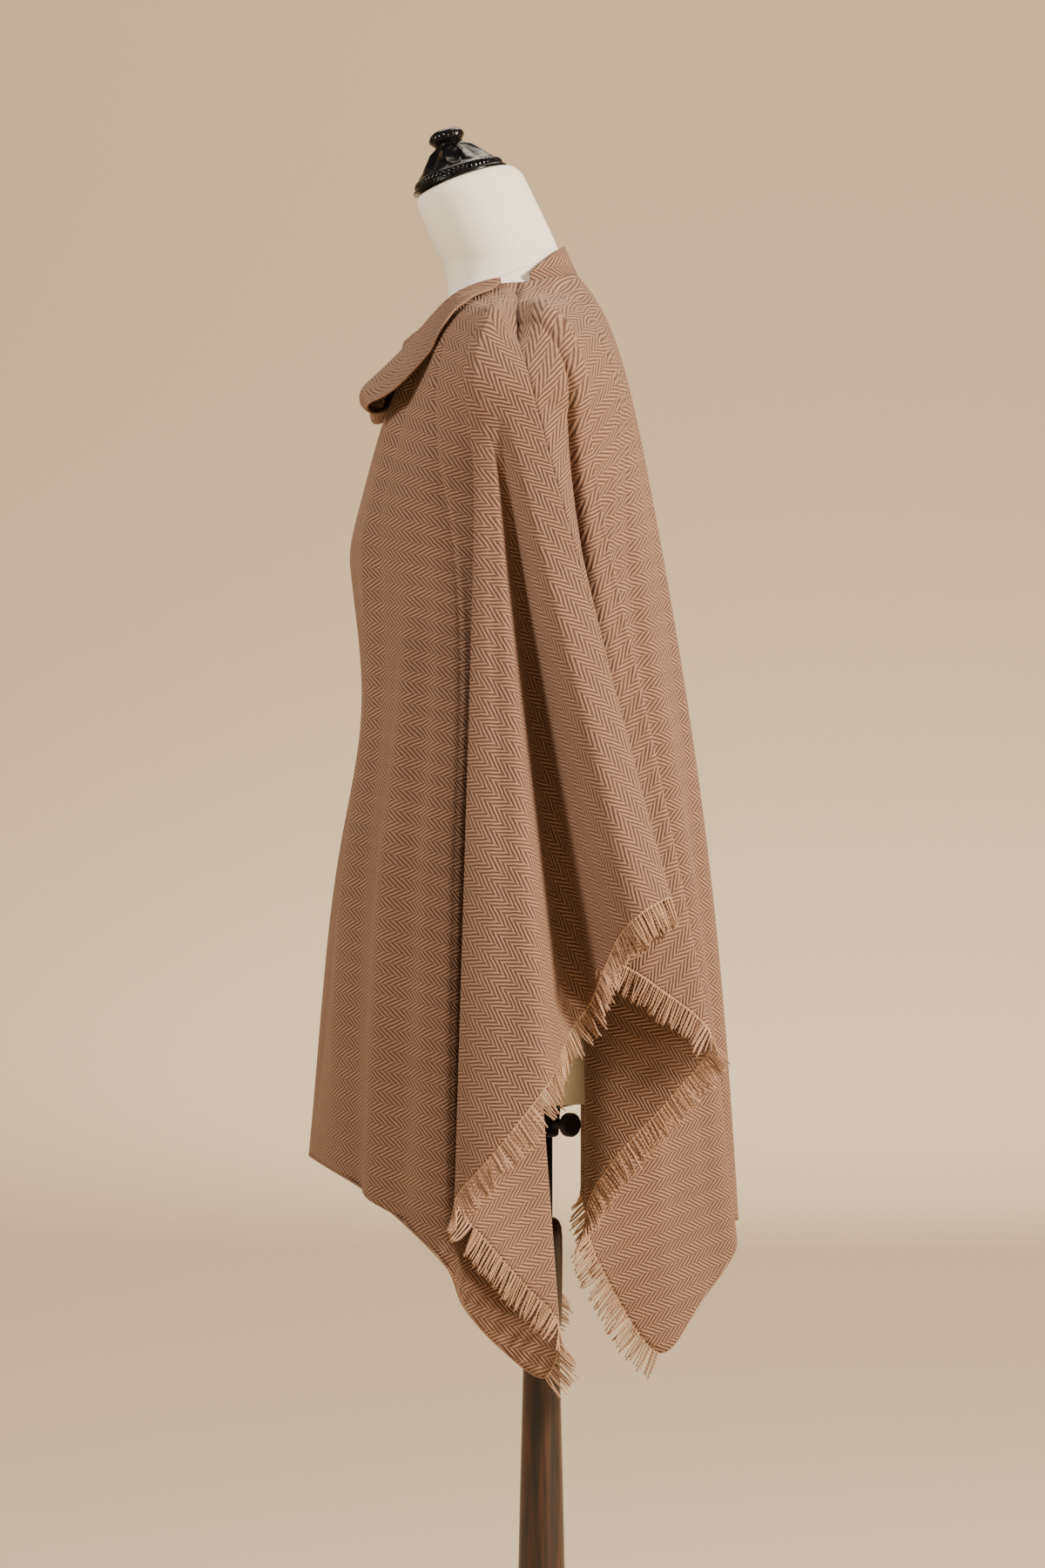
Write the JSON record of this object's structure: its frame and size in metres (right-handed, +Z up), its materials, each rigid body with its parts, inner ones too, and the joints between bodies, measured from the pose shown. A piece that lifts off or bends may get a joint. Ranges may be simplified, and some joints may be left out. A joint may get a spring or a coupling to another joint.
{
  "type": "poncho on a dress form with stand",
  "caption": "Fringed herringbone wool poncho with a turned-down front neck, draped over a limbless dress form on a turned wooden stand.",
  "frame": {"origin": "on the floor, at the centre of the stand's round base", "axes": "+Z up, -Y the way the form faces, +X towards the wearer's left"},
  "size_m": [0.5898, 0.4288, 1.6277],
  "materials": {
    "wool": "matt woven herringbone wool, dusty brown",
    "yarn": "matt twisted wool yarn, dusty brown",
    "cotton": "matt natural cotton cover",
    "black_lacquer": "gloss black lacquer over carved relief",
    "black_iron": "satin black",
    "dark_wood": "dark stained, satin varnish"
  },
  "bodies": {
    "root": {"front_panel": "wool", "back_panel": "wool", "front_lapel": "wool", "back_neck_band": "wool", "fringe_left_front": "yarn", "fringe_left_back": "yarn", "fringe_right_front": "yarn", "fringe_right_back": "yarn", "form_torso": "cotton", "neck_cap": "black_lacquer", "clamp_collar": "black_iron", "clamp_screw": "black_iron", "stand_rod": "black_iron", "stand_pole": "dark_wood", "stand_base": "dark_wood"}
  },
  "joints": []
}
